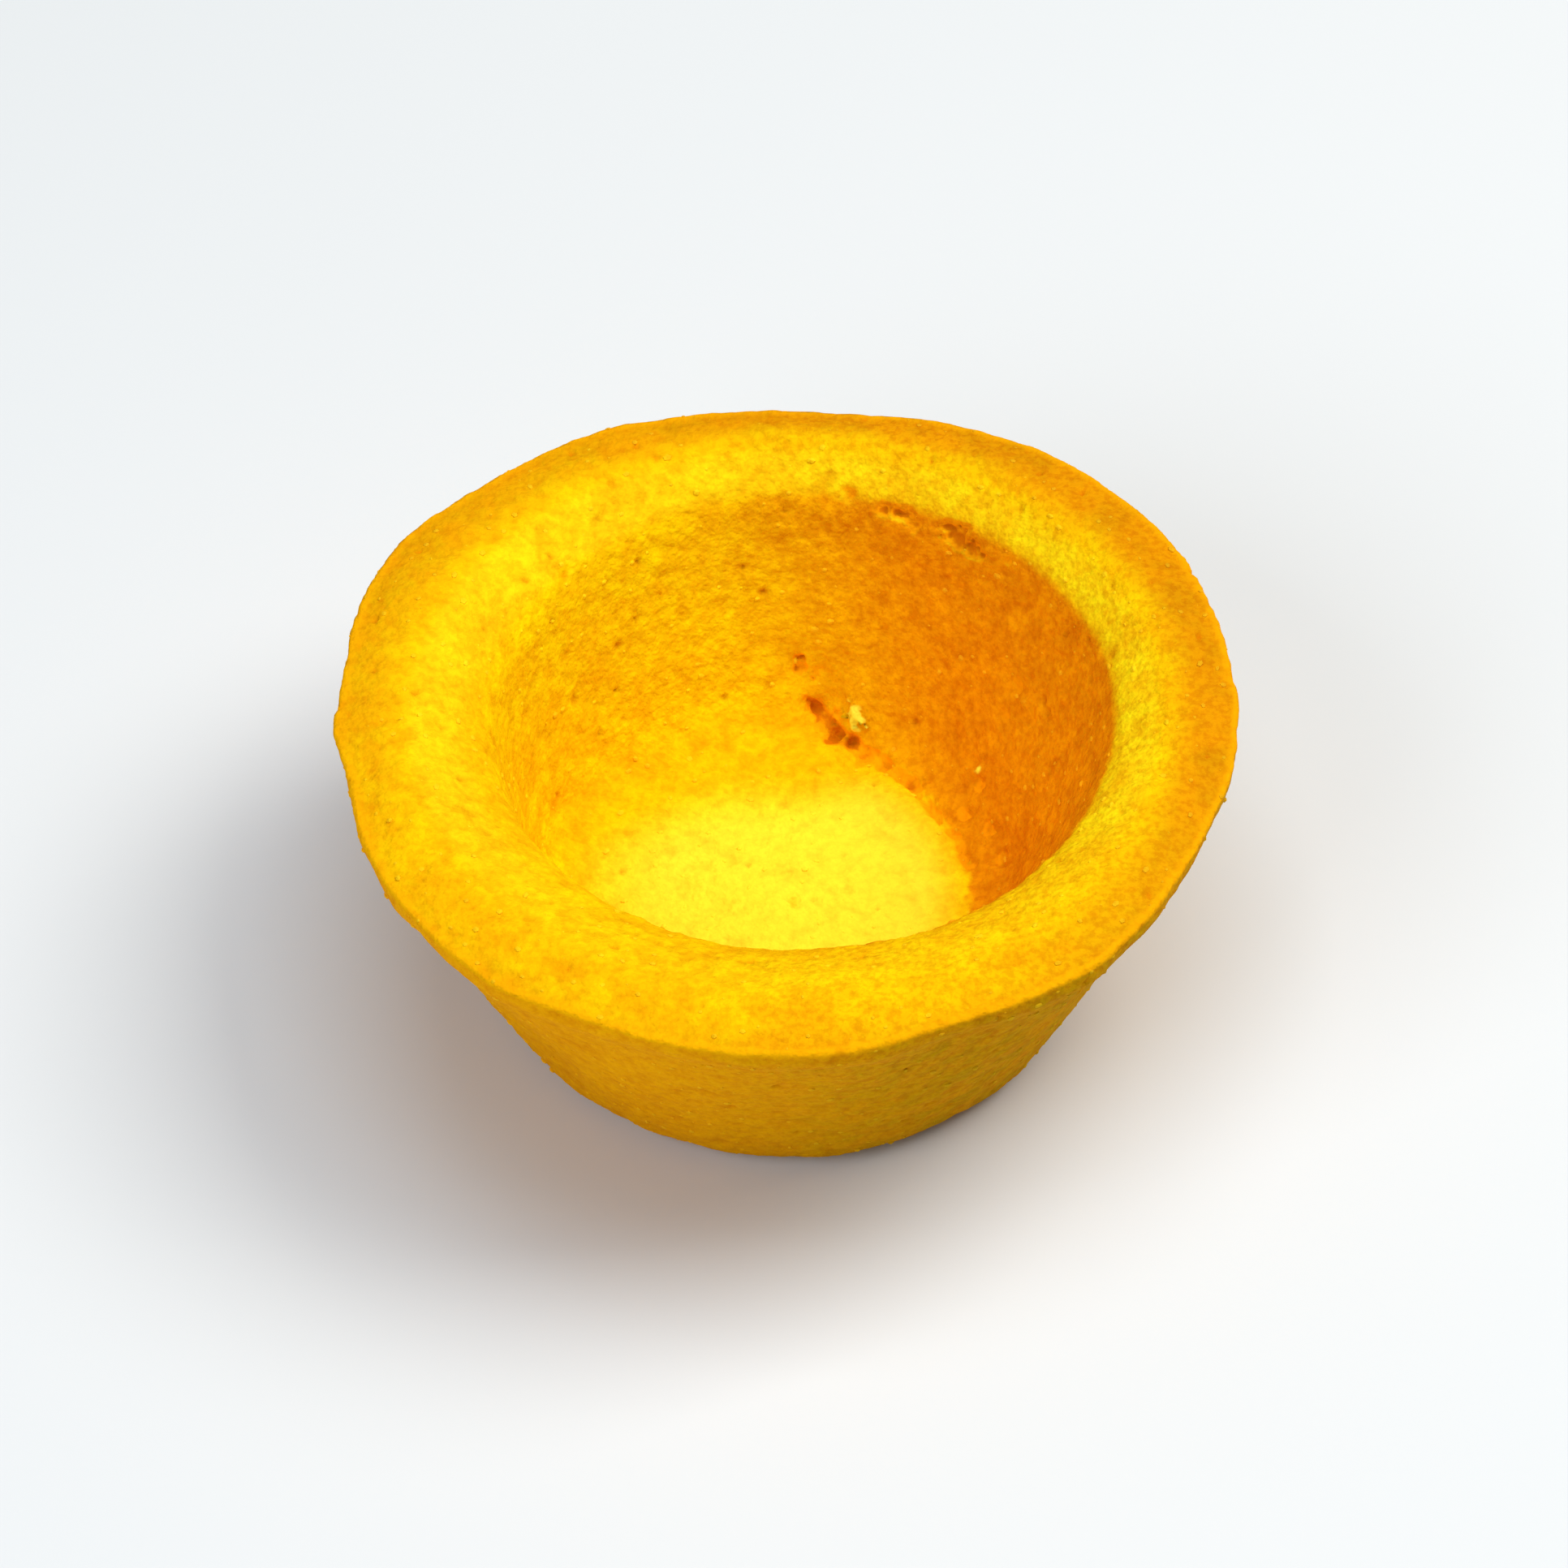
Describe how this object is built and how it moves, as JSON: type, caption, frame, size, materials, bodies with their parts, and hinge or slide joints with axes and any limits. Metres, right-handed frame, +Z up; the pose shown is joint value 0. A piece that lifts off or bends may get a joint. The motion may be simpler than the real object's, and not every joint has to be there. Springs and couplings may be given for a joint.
{
  "type": "empty tart case",
  "caption": "Small round empty tart case of baked shortcrust pastry: sloping outer wall, flat base, thick rim with a low lip and an open cavity for a filling.",
  "frame": {"origin": "on the ground plane of the flat base, below the middle of the rim's outline", "axes": "+Z up through the open mouth; -Y is the side that faces the camera in the picture, where the rim is widest"},
  "size_m": [0.0498, 0.0492, 0.0202],
  "materials": {
    "pastry": "dull baked shortcrust with a fine sandy crumb, golden yellow, browner on the rim's outer edge"
  },
  "bodies": {
    "root": {"tart_case": "pastry"}
  },
  "joints": []
}
